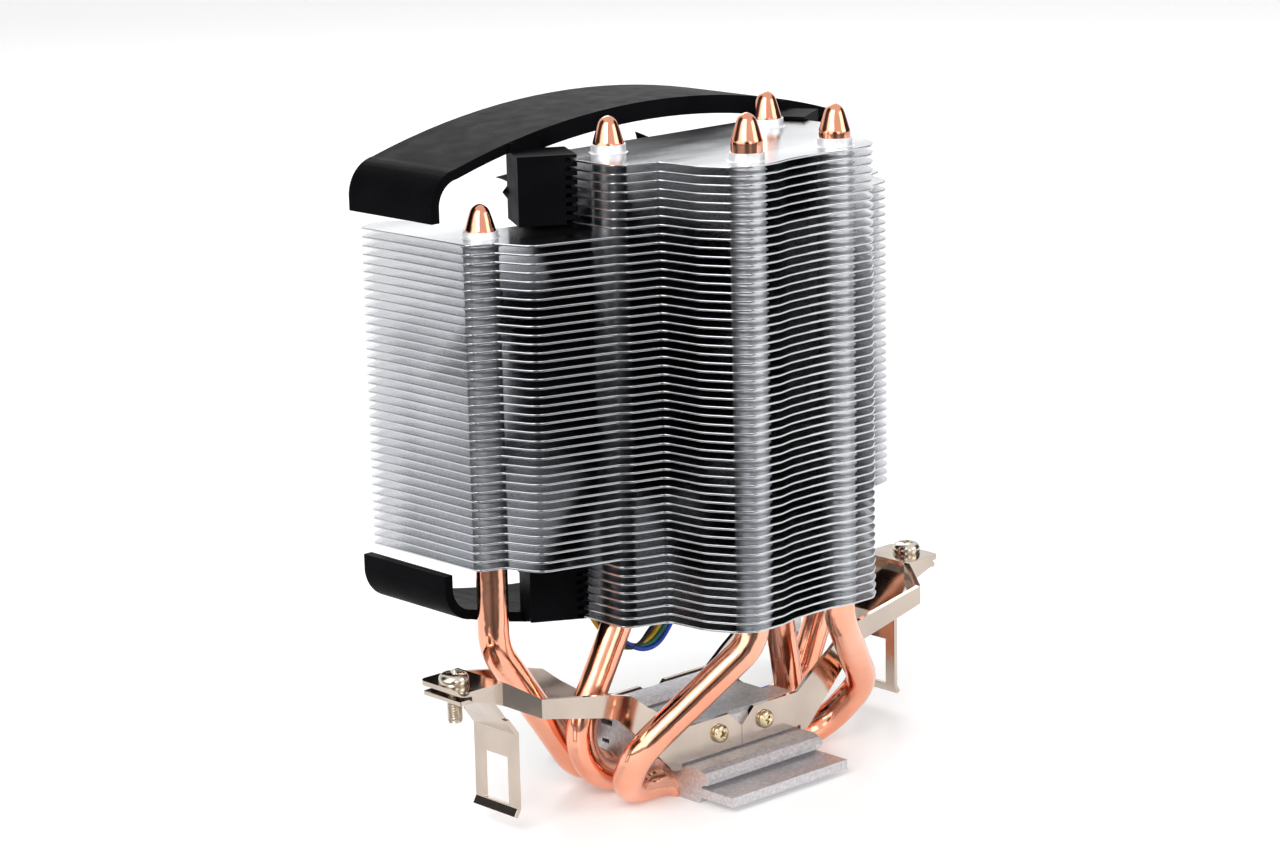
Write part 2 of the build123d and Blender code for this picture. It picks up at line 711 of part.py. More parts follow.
pieces = {
    "base_block": base_block,
    "heat_pipe_front": heat_pipe_front,
    "heat_pipe_middle": heat_pipe_middle,
    "heat_pipe_rear": heat_pipe_rear,
    "fins_top": fins_top,
    "fins_wide": fins_wide,
    "fins_bottom": fins_bottom,
    "clip_arm_left": clip_arm_left,
    "clip_arm_right": clip_arm_right,
    "hook_plate_left": hook_plate_left,
    "hook_plate_right": hook_plate_right,
    "tension_screw_left": tension_screw_left,
    "tension_screw_right": tension_screw_right,
    "arm_screws": arm_screws,
    "fan_frame": fan_frame,
    "motor_pcb": motor_pcb,
    "stator_core": stator_core,
    "stator_coils": stator_coils,
    "bearing_sleeve": bearing_sleeve,
    "rotor_shaft": rotor_shaft,
    "retaining_clip": retaining_clip,
    "rotor_yoke": rotor_yoke,
    "magnet_ring": magnet_ring,
    "impeller": impeller,
    "fan_lead": fan_lead,
    "fan_lead_hank": fan_lead_hank,
    "fan_lead_tail": fan_lead_tail,
    "fan_connector": fan_connector,
}
for node, name in pieces.items():
    name.part.label = node
    export_step(name.part, f"parts/{node}.step")
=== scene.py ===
import random
from math import atan2, ceil, cos, pi, radians, sin, tan

import bmesh
import bpy
from mathutils import Matrix, Vector


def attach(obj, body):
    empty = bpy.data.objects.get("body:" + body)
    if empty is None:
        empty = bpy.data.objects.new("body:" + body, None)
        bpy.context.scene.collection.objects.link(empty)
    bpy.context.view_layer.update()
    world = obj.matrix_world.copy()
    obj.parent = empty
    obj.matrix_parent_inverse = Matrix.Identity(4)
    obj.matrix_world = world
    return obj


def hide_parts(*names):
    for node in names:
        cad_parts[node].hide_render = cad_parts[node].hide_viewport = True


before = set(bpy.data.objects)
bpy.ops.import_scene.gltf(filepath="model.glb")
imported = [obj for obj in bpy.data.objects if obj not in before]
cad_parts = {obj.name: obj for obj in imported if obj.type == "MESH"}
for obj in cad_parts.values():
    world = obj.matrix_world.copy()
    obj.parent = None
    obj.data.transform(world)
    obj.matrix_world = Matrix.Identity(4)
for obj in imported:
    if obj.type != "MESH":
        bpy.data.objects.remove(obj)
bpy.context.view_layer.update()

# Looks of the processor cooler. Lengths are millimetres where nothing else is said, scaled by MM
# when a mesh is made, in the frame of the CAD: +Z up, +Y towards the fan, origin on the middle of
# the contact face.

MM = 0.001

CAMERA_PLACE = (-448.276, -472.261, 224.372)
CAMERA_YAW, CAMERA_PITCH, CAMERA_ROLL = 42.653, 13.438, -1.3127
CAMERA_LENS, CAMERA_SENSOR = 96.91, 36

PIPE_R = 3.0
PIPE_SPACING = 8.3
PIPE_AXIS_Z = 3.0
BED_END = 15.75  # the pipes are pressed to a D as far as this from the middle
BED_BLEND = 2.6  # and come round again over this length
LEG_FRONT = (11.5, -28.6)
LEG_MIDDLE = (20.8, -1.3)
LEG_REAR = (47.2, 5.1)
TIP_CONE = 5.8

FIN_T = 0.4
FIN_PITCH = 1.65
FIN_TOP_Z = 125.5
NARROW_FINS = 8
WIDE_FINS = 38
COLLAR_R = 3.3
COLLAR_SEGMENTS = 40

FAN_Z = 81.8
HUB_R = 20.0
HUB_Y = (14.2, 32.0)
HUB_WALL = 1.6
BLADES = 7
BLADE_TIP_R = 41.5
BLADE_T = 1.5
POST_FRONT_Y = 8.6  # in front of this the frame's posts end at a height from the fan's axis
POST_RISE = 44.5

# Studio: how strongly the world lights surfaces, and how bright metal sees its walls. Metal also
# sees softboxes and the dark gaps between them, each a compass angle from +Y, a height, an outer
# and an inner half angle in degrees, and a brightness.
STUDIO_LIGHT = 0.7
STUDIO_WALL = 0.95
STUDIO_PATCHES = (
    (-137, -4, 22, 10, 0.04),
    (112, 10, 36, 22, 0.05),
    (-45, 30, 32, 18, 0.06),
    (-90, 8, 38, 26, 2.6),
    (-160, 6, 14, 8, 2.8),
    (25, 6, 34, 16, 1.0),
)
FLOOR_WHITE, FLOOR_DARK = (0.9, 0.9, 0.9), (0.02, 0.02, 0.02)
FLOOR_HALF = 3
FLOOR_GLOW = 0.2
FLOOR_FRONT = (-125, 0.105)  # metal sees a dark room past this distance along this angle
FLOOR_FADE = 0.01
FLOOR_DROP = 0.00002  # keeps the floor clear of the contact face
# Each lamp's name, place, size and power in watts. They aim at LAMP_AIM. The floor's and the lamps'
# lengths are in metres.
SOFTBOXES = (
    ("key", (-0.75, -0.35, 0.75), (0.55, 0.55), 6),
    ("fill", (0.45, -0.85, 0.45), (0.6, 0.5), 2),
    ("back", (0.5, 0.75, 0.7), (0.6, 0.6), 3),
)
LAMP_AIM = (0, 0, 0.06)

WIRE_R = 0.48
LEAD_R = 1.15
WIRES = 4

random.seed(7)


# ---- Meshes -------------------------------------------------------------------------------------


def angles(count):
    """Even angles round a circle."""
    return [2 * pi * i / count for i in range(count)]


def smooth(t):
    """Eases a share from 0 to 1."""
    return t * t * (3 - 2 * t)


def placed(name, data):
    """An object of the scene from its data."""
    made = bpy.data.objects.new(name, data)
    bpy.context.scene.collection.objects.link(made)
    return made


def piece(name, mesh, material, body="root", stands_for=(), sharp=35):
    """A shown piece from a mesh in millimetres. sharp is the least angle of a sharp edge."""
    mesh.transform(Matrix.Scale(MM, 4))
    return shown(name, mesh, material, body, stands_for, sharp)


def shown(name, mesh, material, body, stands_for, sharp):
    """A shown piece from a mesh in metres."""
    mesh.name = name
    for face in mesh.polygons:
        face.use_smooth = True
    mesh.set_sharp_from_angle(angle=radians(sharp))
    mesh.materials.append(material)
    made = placed(name, mesh)
    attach(made, body)
    if stands_for:
        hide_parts(*stands_for)
    return made


def as_mesh(bm):
    """A mesh from a bmesh, which is used up."""
    mesh = bpy.data.meshes.new("made")
    bm.to_mesh(mesh)
    bm.free()
    return mesh


def as_solid(bm):
    """The same with its normals outwards."""
    bmesh.ops.recalc_face_normals(bm, faces=bm.faces)
    return as_mesh(bm)


def joined(meshes):
    """One mesh from several, which are used up."""
    bm = bmesh.new()
    for mesh in meshes:
        bm.from_mesh(mesh)
        bpy.data.meshes.remove(mesh)
    return as_mesh(bm)


def copies(mesh, places):
    """Copies of one mesh, each moved by one matrix."""
    bm = bmesh.new()
    for place in places:
        start = len(bm.verts)
        bm.from_mesh(mesh)
        bm.verts.ensure_lookup_table()
        bmesh.ops.transform(bm, matrix=place, verts=bm.verts[start:])
    return as_mesh(bm)


def skin(rings, caps=True):
    """A mesh over closed rings of points, each ring with the same number of them."""
    bm = bmesh.new()
    rows = [[bm.verts.new(point) for point in ring] for ring in rings]
    count = len(rows[0])
    for low, high in zip(rows, rows[1:]):
        for i in range(count):
            j = (i + 1) % count
            bm.faces.new((low[i], low[j], high[j], high[i]))
    if caps:
        bm.faces.new(rows[0])
        bm.faces.new(rows[-1])
    return as_solid(bm)


def lathe(profile, place=Matrix(), segments=48):
    """A solid of revolution: profile is (radius, height) up local Z. Radius 0 closes it."""
    bm = bmesh.new()
    rows = []
    for radius, height in profile:
        if radius == 0:
            ring = [Vector((0, 0, height))]
        else:
            ring = [Vector((radius * cos(a), radius * sin(a), height)) for a in angles(segments)]
        rows.append([bm.verts.new(place @ point) for point in ring])
    for low, high in zip(rows, rows[1:]):
        for i in range(segments):
            j = (i + 1) % segments
            if len(low) == 1:
                bm.faces.new((low[0], high[j], high[i]))
            elif len(high) == 1:
                bm.faces.new((low[i], low[j], high[0]))
            else:
                bm.faces.new((low[i], low[j], high[j], high[i]))
    return as_solid(bm)


def round_corners(corners):
    """A closed loop of plan points with round corners: corners are (x, y, radius)."""
    most, step = 0.48, radians(12)  # a corner's largest share of an edge, and its arc's steps
    out = []
    for i, (x, y, radius) in enumerate(corners):
        here = Vector((x, y))
        if radius == 0:
            out.append(here)
            continue
        before = Vector(corners[i - 1][:2]) - here
        after = Vector(corners[(i + 1) % len(corners)][:2]) - here
        half = before.angle(after) / 2
        cut = min(radius / tan(half), most * before.length, most * after.length)
        start, end = here + before.normalized() * cut, here + after.normalized() * cut
        steps = max(2, ceil((pi - 2 * half) / step))
        for k in range(steps + 1):
            t = k / steps
            out.append(start * (1 - t) ** 2 + here * 2 * t * (1 - t) + end * t**2)
    return out


def plate(outline, holes, thickness, edge):
    """A flat sheet with eased edges, from z 0 up. outline and holes are loops of plan points."""
    curve = bpy.data.curves.new("plate", "CURVE")
    curve.dimensions = "2D"
    curve.fill_mode = "BOTH"
    curve.extrude = thickness / 2 - edge
    curve.bevel_depth = edge
    curve.bevel_resolution = 1
    curve.offset = -edge
    for loop in (outline, *holes):
        spline = curve.splines.new("POLY")
        spline.points.add(len(loop) - 1)
        for point, (x, y) in zip(spline.points, loop):
            point.co = (x, y, 0, 1)
        spline.use_cyclic_u = True
    holder = bpy.data.objects.new("plate", curve)
    mesh = bpy.data.meshes.new_from_object(holder)
    bpy.data.objects.remove(holder)
    bpy.data.curves.remove(curve)
    mesh.transform(Matrix.Translation((0, 0, thickness / 2)))
    return mesh


def frames_along(points, first_side):
    """A (point, side, up) for each point of a line, turned as little as possible along it."""
    out = []
    side = Vector(first_side)
    for i, point in enumerate(points):
        ahead = (points[min(i + 1, len(points) - 1)] - points[max(i - 1, 0)]).normalized()
        side = (side - ahead * side.dot(ahead)).normalized()
        out.append((point, side, ahead.cross(side)))
    return out


def arc_route(points, radii):
    """Straight runs joined by tangent arcs, as the pipe bender makes them."""
    step = 0.7  # length along an arc
    points = [Vector(point) for point in points]
    out = [points[0]]
    for before, corner, after, radius in zip(points, points[1:], points[2:], radii):
        back, on = (before - corner).normalized(), (after - corner).normalized()
        half = back.angle(on) / 2
        centre = corner + (back + on).normalized() * radius / sin(half)
        first = corner + back * radius / tan(half) - centre
        last = corner + on * radius / tan(half) - centre
        sweep = pi - 2 * half
        steps = max(3, ceil(sweep * radius / step))
        for k in range(steps + 1):
            t = k / steps
            out.append(centre + (first * sin((1 - t) * sweep) + last * sin(t * sweep)) / sin(sweep))
    out.append(points[-1])
    return out


def cut_by(mesh, cutters):
    """The mesh less each cutter, by exact booleans."""
    target = placed("target", mesh)
    others = [placed("cutter", cutter) for cutter in cutters]
    for other in others:
        cut = target.modifiers.new("cut", "BOOLEAN")
        cut.operation = "DIFFERENCE"
        cut.solver = "EXACT"
        cut.object = other
    graph = bpy.context.evaluated_depsgraph_get()
    out = bpy.data.meshes.new_from_object(target.evaluated_get(graph))
    for holder in (target, *others):
        data = holder.data
        bpy.data.objects.remove(holder)
        bpy.data.meshes.remove(data)
    return out


# ---- Materials ----------------------------------------------------------------------------------


class Nodes:
    """A node tree with short ways to add to it."""

    def __init__(self, tree):
        self.tree = tree

    def node(self, kind, inputs=(), **values):
        made = self.tree.nodes.new(kind)
        for key, value in values.items():
            setattr(made, key, value)
        for key, value in dict(inputs).items():
            made.inputs[key].default_value = value
        return made

    def link(self, source, target):
        self.tree.links.new(source, target)

    def ramp(self, source, low, high, start, end, **values):
        """Spreads the source's range from start to end over low to high."""
        inputs = {"From Min": start, "From Max": end, "To Min": low, "To Max": high}
        made = self.node("ShaderNodeMapRange", inputs, **values)
        self.link(source, made.inputs["Value"])
        return made.outputs["Result"]

    def along(self, source, direction):
        """How far a vector goes along a direction."""
        made = self.node("ShaderNodeVectorMath", {1: direction}, operation="DOT_PRODUCT")
        self.link(source, made.inputs[0])
        return made.outputs["Value"]

    def math(self, operation, first, second, **values):
        """An operation on one output and another, or on an output and a number."""
        made = self.node("ShaderNodeMath", operation=operation, **values)
        self.link(first, made.inputs[0])
        if isinstance(second, float):
            made.inputs[1].default_value = second
        else:
            self.link(second, made.inputs[1])
        return made.outputs["Value"]


class Surface(Nodes):
    """A node material: a principled shader with noise on its colour, roughness and bump."""

    def __init__(self, name, color, metallic, roughness):
        self.material = bpy.data.materials.new(name)
        self.material.use_nodes = True
        super().__init__(self.material.node_tree)
        self.shader = self.tree.nodes["Principled BSDF"]
        self.shader.inputs["Base Color"].default_value = (*color, 1)
        self.shader.inputs["Metallic"].default_value = metallic
        self.shader.inputs["Roughness"].default_value = roughness
        self.color = color
        self.roughness = roughness
        self.normal = None

    def noise(self, scale, detail=3.0, stretch=(1, 1, 1), distortion=0.0):
        """Noise in the part's own space. scale is features per metre."""
        place = self.node("ShaderNodeTexCoord")
        mapping = self.node("ShaderNodeMapping", {"Scale": stretch})
        inputs = {"Scale": scale, "Detail": detail, "Distortion": distortion}
        made = self.node("ShaderNodeTexNoise", inputs)
        self.link(place.outputs["Object"], mapping.inputs["Vector"])
        self.link(mapping.outputs["Vector"], made.inputs["Vector"])
        return made.outputs["Fac"]

    def vary_roughness(self, source, spread):
        """Its own roughness, a spread less or more over the middle of the noise's range."""
        result = self.ramp(source, self.roughness - spread, self.roughness + spread, 0.3, 0.7)
        self.link(result, self.shader.inputs["Roughness"])

    def vary_color(self, source, other):
        """From its own colour to another over the middle of the noise's range."""
        self.mix_color(self.ramp(source, 0, 1, 0.35, 0.65), other)

    def mix_color(self, share, other):
        """Its own colour where share is 0, the other where it is 1."""
        colors = {"A": (*self.color, 1), "B": (*other, 1)}
        mix = self.node("ShaderNodeMix", colors, data_type="RGBA")
        self.link(share, mix.inputs["Factor"])
        self.link(mix.outputs["Result"], self.shader.inputs["Base Color"])

    def bump(self, source, strength, distance):
        """Adds bump, over any that is there already. distance is in metres."""
        made = self.node("ShaderNodeBump", {"Strength": strength, "Distance": distance})
        self.link(source, made.inputs["Height"])
        if self.normal:
            self.link(self.normal, made.inputs["Normal"])
        self.normal = made.outputs["Normal"]
        self.link(self.normal, self.shader.inputs["Normal"])


def fin_material():
    """Bright rolled aluminium sheet, faintly hazy, with rolling marks along X."""
    made = Surface("fin_sheet", (0.64, 0.65, 0.67), 1.0, 0.2)
    made.vary_roughness(made.noise(90, 4, (0.3, 1, 1)), 0.07)
    made.vary_color(made.noise(35, 3), (0.57, 0.58, 0.61))
    made.bump(made.noise(900, 3, (0.05, 1, 1)), 0.12, 0.00002)
    made.bump(made.noise(45, 1), 0.25, 0.0002)
    return made.material


def collar_material():
    """Drawn aluminium of the collars, duller than the sheet."""
    made = Surface("fin_collar", (0.96, 0.97, 0.98), 0.7, 0.45)
    made.vary_roughness(made.noise(260, 3), 0.06)
    made.vary_color(made.noise(300, 3), (0.88, 0.89, 0.91))
    made.bump(made.noise(900, 2, (1, 1, 0.3)), 0.15, 0.00003)
    return made.material


def copper_material():
    """Polished copper tube with a wavy surface, fine marks and redder patches."""
    made = Surface("copper_tube", (0.96, 0.49, 0.34), 1.0, 0.13)
    made.vary_roughness(made.noise(110, 5), 0.07)
    made.vary_color(made.noise(60, 4, distortion=0.4), (0.90, 0.39, 0.25))
    made.bump(made.noise(130, 2, distortion=0.6), 0.35, 0.0006)
    made.bump(made.noise(1500, 4), 0.10, 0.00005)
    return made.material


def copper_tip_material():
    """Smoother and deeper copper of the drawn ends."""
    made = Surface("copper_tip", (0.86, 0.40, 0.26), 1.0, 0.09)
    made.vary_roughness(made.noise(300, 4), 0.05)
    made.vary_color(made.noise(160, 3), (0.80, 0.34, 0.22))
    made.bump(made.noise(500, 2), 0.2, 0.0001)
    return made.material


def base_material():
    """Extruded aluminium, blasted to an even grey."""
    made = Surface("blasted_aluminium", (0.72, 0.70, 0.71), 0.85, 0.48)
    made.vary_roughness(made.noise(500, 5), 0.06)
    made.vary_color(made.noise(1400, 5), (0.55, 0.54, 0.555))
    made.bump(made.noise(5200, 3), 0.5, 0.00005)
    made.bump(made.noise(500, 2, (0.15, 1, 1)), 0.15, 0.0001)
    return made.material


def nickel_material():
    """Warm nickel plate over pressed sheet."""
    made = Surface("nickel_plate", (0.62, 0.53, 0.45), 1.0, 0.13)
    made.vary_roughness(made.noise(160, 4), 0.06)
    made.vary_color(made.noise(90, 4), (0.52, 0.44, 0.38))
    made.bump(made.noise(2600, 4), 0.15, 0.00003)
    made.bump(made.noise(120, 1), 0.2, 0.0002)
    return made.material


def screw_material(name, color):
    made = Surface(name, color, 1.0, 0.2)
    made.vary_roughness(made.noise(900, 3), 0.06)
    made.vary_color(made.noise(600, 3), tuple(0.8 * c for c in color))
    made.bump(made.noise(3000, 3), 0.15, 0.00002)
    return made.material


def plastic_material(name, color, roughness, grain=4200, ior=1.4):
    """A dull surface with a fine grain."""
    made = Surface(name, color, 0.0, roughness)
    made.shader.inputs["IOR"].default_value = ior
    made.vary_roughness(made.noise(260, 4), 0.05)
    made.vary_color(made.noise(120, 3), tuple(1.5 * c for c in color))
    made.bump(made.noise(grain, 3), 0.35, 0.00004)
    return made.material


def board_material():
    """Green solder resist."""
    made = Surface("board", (0.02, 0.12, 0.045), 0.0, 0.35)
    made.vary_color(made.noise(700, 2), (0.03, 0.2, 0.08))
    made.bump(made.noise(1600, 2), 0.2, 0.00003)
    return made.material


def steel_surface(name, color, roughness):
    made = Surface(name, color, 1.0, roughness)
    made.vary_roughness(made.noise(500, 4), 0.08)
    made.vary_color(made.noise(300, 4), tuple(0.75 * c for c in color))
    return made


def steel_material(name, color, roughness):
    """Bare turned or pressed metal."""
    made = steel_surface(name, color, roughness)
    made.bump(made.noise(2200, 3), 0.2, 0.00003)
    return made.material


def laminated_material():
    """Stamped steel sheets stacked along Y."""
    made = steel_surface("laminations", (0.35, 0.35, 0.37), 0.38)
    place = made.node("ShaderNodeTexCoord")
    wave = made.node("ShaderNodeTexWave", {"Scale": 320}, bands_direction="Y")
    made.link(place.outputs["Object"], wave.inputs["Vector"])
    made.bump(wave.outputs["Fac"], 0.6, 0.0001)
    return made.material


def winding_material():
    """Enamelled copper wire laid in rows."""
    made = Surface("winding", (0.62, 0.22, 0.08), 0.7, 0.25)
    made.vary_color(made.noise(900, 2, (1, 6, 1)), (0.75, 0.33, 0.14))
    made.bump(made.noise(1500, 1, (1, 8, 1)), 0.6, 0.0001)
    return made.material


def wire_material(name, color):
    made = Surface(name, color, 0.0, 0.38)
    made.vary_roughness(made.noise(400, 3), 0.06)
    made.vary_color(made.noise(250, 3), tuple(min(1.25 * c + 0.01, 1) for c in color))
    made.bump(made.noise(1800, 2), 0.2, 0.00004)
    return made.material


COPPER = copper_material()
COPPER_TIP = copper_tip_material()
FIN = fin_material()
COLLAR = collar_material()
BASE = base_material()
NICKEL = nickel_material()
SCREW = screw_material("screw_plate", (0.70, 0.63, 0.53))
ARM_SCREW = screw_material("small_screw_plate", (0.76, 0.64, 0.42))
FRAME_PLASTIC = plastic_material("frame_plastic", (0.0035, 0.0035, 0.0042), 0.42, ior=1.06)
FAN_PLASTIC = plastic_material("fan_plastic", (0.005, 0.005, 0.006), 0.38, ior=1.15)
SHAFT = steel_material("shaft", (0.62, 0.63, 0.65), 0.18)


# ---- Heat pipes ---------------------------------------------------------------------------------


def three_point(start, middle, end, count):
    """Points along the arc through three points of a plane, the last one left out."""
    (ax, ay), (bx, by), (cx, cy) = start, middle, end
    d = 2 * (ax * (by - cy) + bx * (cy - ay) + cx * (ay - by))
    sa, sb, sc = ax * ax + ay * ay, bx * bx + by * by, cx * cx + cy * cy
    ox = (sa * (by - cy) + sb * (cy - ay) + sc * (ay - by)) / d
    oy = (sa * (cx - bx) + sb * (ax - cx) + sc * (bx - ax)) / d
    first, last = atan2(ay - oy, ax - ox), atan2(cy - oy, cx - ox)
    turn = (last - first) % (2 * pi)
    if (atan2(by - oy, bx - ox) - first) % (2 * pi) > turn:
        turn -= 2 * pi
    radius = ((ax - ox) ** 2 + (ay - oy) ** 2) ** 0.5
    turns = [first + turn * i / count for i in range(count)]
    return [(ox + radius * cos(a), oy + radius * sin(a)) for a in turns]


# Section of a pressed pipe as (y, z): a flat foot, two bulged sides and a round back. The angles
# match its points with those of the round pipe.
FOOT_CORNER, SIDE_BULGE, SHOULDER, BACK_TOP = (3, 0), (3.5, 1.4), (3, 2.9), (0, 4.6)
FOOT_STEPS, SIDE_STEPS, BACK_STEPS = 14, 8, 26
BED_MIDDLE_Z = 2.3


def bed_section():
    left_foot, left_bulge, left_shoulder = ((-y, z) for y, z in (FOOT_CORNER, SIDE_BULGE, SHOULDER))
    width = 2 * FOOT_CORNER[0]
    foot = [(left_foot[0] + width * i / FOOT_STEPS, 0.0) for i in range(FOOT_STEPS)]
    right = three_point(FOOT_CORNER, SIDE_BULGE, SHOULDER, SIDE_STEPS)
    back = three_point(SHOULDER, BACK_TOP, left_shoulder, BACK_STEPS)
    return foot + right + back + three_point(left_shoulder, left_bulge, left_foot, SIDE_STEPS)


BED = bed_section()
BED_ANGLES = [atan2(z - BED_MIDDLE_Z, y) for y, z in BED]
BLEND_STEPS = 7

# Profile of a drawn and sealed end: (height below the top, share of the pipe's radius).
TIP_PROFILE = [
    (5.2, 1.0),
    (4.9, 0.985),
    (4.6, 0.95),
    (3.6, 0.85),
    (2.6, 0.75),
    (1.7, 0.65),
    (1.1, 0.57),
    (0.7, 0.47),
    (0.35, 0.33),
    (0.1, 0.17),
    (0.0, 0.04),
]


def pipe_side(row_y, side, corners, tip):
    """Rings of one leg from the middle of the base to its tip. corners are (bend point, radius)."""
    rings = []
    for x in (0, BED_END):
        rings.append([Vector((side * x, row_y + y, z)) for y, z in BED])
    for k in range(1, BLEND_STEPS):
        t = k / BLEND_STEPS
        share = smooth(t)
        x = side * (BED_END + BED_BLEND * t)
        ring = []
        for (y, z), angle in zip(BED, BED_ANGLES):
            round_y, round_z = PIPE_R * cos(angle), PIPE_AXIS_Z + PIPE_R * sin(angle)
            y, z = y + (round_y - y) * share, z + (round_z - z) * share
            ring.append(Vector((x, row_y + y, z)))
        rings.append(ring)
    leg_x, leg_y = corners[-1][0][:2]
    start = (side * (BED_END + BED_BLEND), row_y, PIPE_AXIS_Z)
    points = [start, *(point for point, _ in corners), (leg_x, leg_y, tip - TIP_CONE)]
    route = arc_route(points, [radius for _, radius in corners])
    route += [Vector((leg_x, leg_y, tip - drop)) for drop, _ in TIP_PROFILE]
    shares = [1.0] * (len(route) - len(TIP_PROFILE)) + [share for _, share in TIP_PROFILE]
    for (point, across, up), share in zip(frames_along(route, (0, 1, 0)), shares):
        if side < 0:
            up = -up
        radius = PIPE_R * share
        rings.append([point + across * radius * cos(a) + up * radius * sin(a) for a in BED_ANGLES])
    return rings


def heat_pipe(name, row_y, left, right, left_tip, right_tip):
    """One U of pipe. Its bare ends above the fins are of the tips' copper."""
    left_rings = pipe_side(row_y, -1, left, left_tip)
    rings = left_rings[::-1] + pipe_side(row_y, 1, right, right_tip)[1:]
    made = piece(name + "_tube", skin(rings), COPPER, stands_for=[name], sharp=60)
    made.data.materials.append(COPPER_TIP)
    bare_end = TIP_CONE + 3
    lowest = min(left_tip, right_tip) - bare_end
    for face in made.data.polygons:
        face.material_index = int(face.center.z > lowest * MM)


def heat_pipes():
    """The three pipes by the points that their runs bend at, with each bend's radius."""
    front_x, front_y = LEG_FRONT
    middle_x, middle_y = LEG_MIDDLE
    rear_x, rear_y = LEG_REAR
    fronts = []
    for side in (-1, 1):
        fronts.append(
            [
                ((side * 27.5, -PIPE_SPACING, PIPE_AXIS_Z), 8),
                ((side * 31, -16.5, 13.5), 9),
                ((side * front_x, front_y, 34), 9),
            ]
        )
    heat_pipe("heat_pipe_front", -PIPE_SPACING, *fronts, 134.3, 133.4)
    middle_left = [((-38, 0, PIPE_AXIS_Z), 11), ((-middle_x, middle_y, 35.5), 9)]
    middle_right = [((27.6, 0, PIPE_AXIS_Z), 7.5), ((middle_x, middle_y, 35), 9)]
    heat_pipe("heat_pipe_middle", 0, middle_left, middle_right, 132.3, 132.3)
    rear_left = [((-23.8, PIPE_SPACING, PIPE_AXIS_Z), 11), ((-rear_x, rear_y, 33.5), 10)]
    rear_right = [
        ((28, PIPE_SPACING, PIPE_AXIS_Z), 12),
        ((37.6, 7.5, 8.4), 8),
        ((rear_x, rear_y, 35.5), 10),
    ]
    heat_pipe("heat_pipe_rear", PIPE_SPACING, rear_left, rear_right, 118.5, 118.5)


# ---- Fins ---------------------------------------------------------------------------------------


# Outline of the fins' right half, from the middle of the front round to the middle of the back,
# each corner an (x, y, radius).
FIN_FRONT_MIDDLE, FIN_BACK_MIDDLE = (0, -32.8, 6), (0, 6.5, 0)
FIN_FRONT = [
    (5, -33.0, 6),
    (9, -34.0, 5),
    (15.6, -34.0, 3),
    (18.8, -31.6, 2.5),
    (21.6, -26.2, 6),
    (22.6, -17.0, 2.2),
    (29.0, -15.0, 3),
    (31.0, -13.3, 1.5),
]
FIN_WING = [
    (47, -9, 4),
    (49.6, -1.6, 2),
    (54.4, 0.2, 1.5),
    (54.9, 31, 1.5),
    (49.5, 33.2, 3),
    (45.4, 30.6, 3),
    (43.6, 15, 12),
    (39, 9.6, 4),
    (27, 6.9, 3),
]
FIN_NARROW_SIDE = [(31, -2.2, 0.8), (25.9, 6.9, 0.8)]
FIN_EDGE = 0.06
HOLE_GAP = 0.1
TOP_COLLAR = 1.6  # height of the topmost fin's collars, which no fin stands on
FIN_TILT = 0.0006


def fin_plan(wide):
    half = FIN_FRONT + (FIN_WING if wide else FIN_NARROW_SIDE)
    other = [(-x, y, radius) for x, y, radius in reversed(half)]
    return round_corners([FIN_FRONT_MIDDLE, *half, FIN_BACK_MIDDLE, *other])


def circle(x, y, radius):
    return [(x + radius * cos(a), y + radius * sin(a)) for a in angles(COLLAR_SEGMENTS)]


def collar(x, y, height):
    """The punched collar that hugs a pipe above its fin, from a flare on the sheet to a rim."""
    profile = [
        (COLLAR_R + 0.5, FIN_T - 0.02),
        (COLLAR_R + 0.2, FIN_T + 0.06),
        (COLLAR_R + 0.04, FIN_T + 0.25),
        (COLLAR_R, FIN_T + 0.5),
        (COLLAR_R, FIN_T + height - 0.08),
        (COLLAR_R - 0.08, FIN_T + height),
        (PIPE_R + 0.03, FIN_T + height),
        (PIPE_R + 0.03, 0.02),
    ]
    made = lathe(profile, Matrix.Translation((x, y, 0)), COLLAR_SEGMENTS)
    for face in made.polygons:
        face.material_index = 1
    return made


def fin(wide, collar_height):
    """A sheet with the collars round the pipes that pass it."""
    legs = [LEG_FRONT, LEG_MIDDLE] + ([LEG_REAR] if wide else [])
    spots = [(side * x, y) for x, y in legs for side in (-1, 1)]
    holes = [circle(x, y, PIPE_R + HOLE_GAP) for x, y in spots]
    sheet = plate(fin_plan(wide), holes, FIN_T, FIN_EDGE)
    return joined([sheet, *(collar(x, y, collar_height) for x, y in spots)])


def fin_stack(name, wide, top_z, count, top_height):
    """Level fins, none of them perfectly true. The highest one has its own collar height."""
    plain, highest = fin(wide, FIN_PITCH - FIN_T), fin(wide, top_height)
    stacks = []
    for level in range(count):
        tilt = Matrix.Rotation(random.uniform(-FIN_TILT, FIN_TILT), 4, "X")
        tilt = tilt @ Matrix.Rotation(random.uniform(-FIN_TILT, FIN_TILT), 4, "Y")
        place = Matrix.Translation((0, 0, top_z - FIN_T - level * FIN_PITCH)) @ tilt
        stacks.append(copies(highest if level == 0 else plain, [place]))
    bpy.data.meshes.remove(plain)
    bpy.data.meshes.remove(highest)
    whole = joined(stacks)
    made = piece(name + "_sheets", whole, FIN, stands_for=[name], sharp=30)
    made.data.materials.append(COLLAR)


def fins():
    """Three stacks, one above another at one pitch."""
    wide_top = FIN_TOP_Z - NARROW_FINS * FIN_PITCH
    lower_top = wide_top - WIDE_FINS * FIN_PITCH
    spacing = FIN_PITCH - FIN_T
    fin_stack("fins_top", False, FIN_TOP_Z, NARROW_FINS, TOP_COLLAR)
    fin_stack("fins_wide", True, wide_top, WIDE_FINS, spacing)
    fin_stack("fins_bottom", False, lower_top, NARROW_FINS, spacing)


# ---- Screws -------------------------------------------------------------------------------------

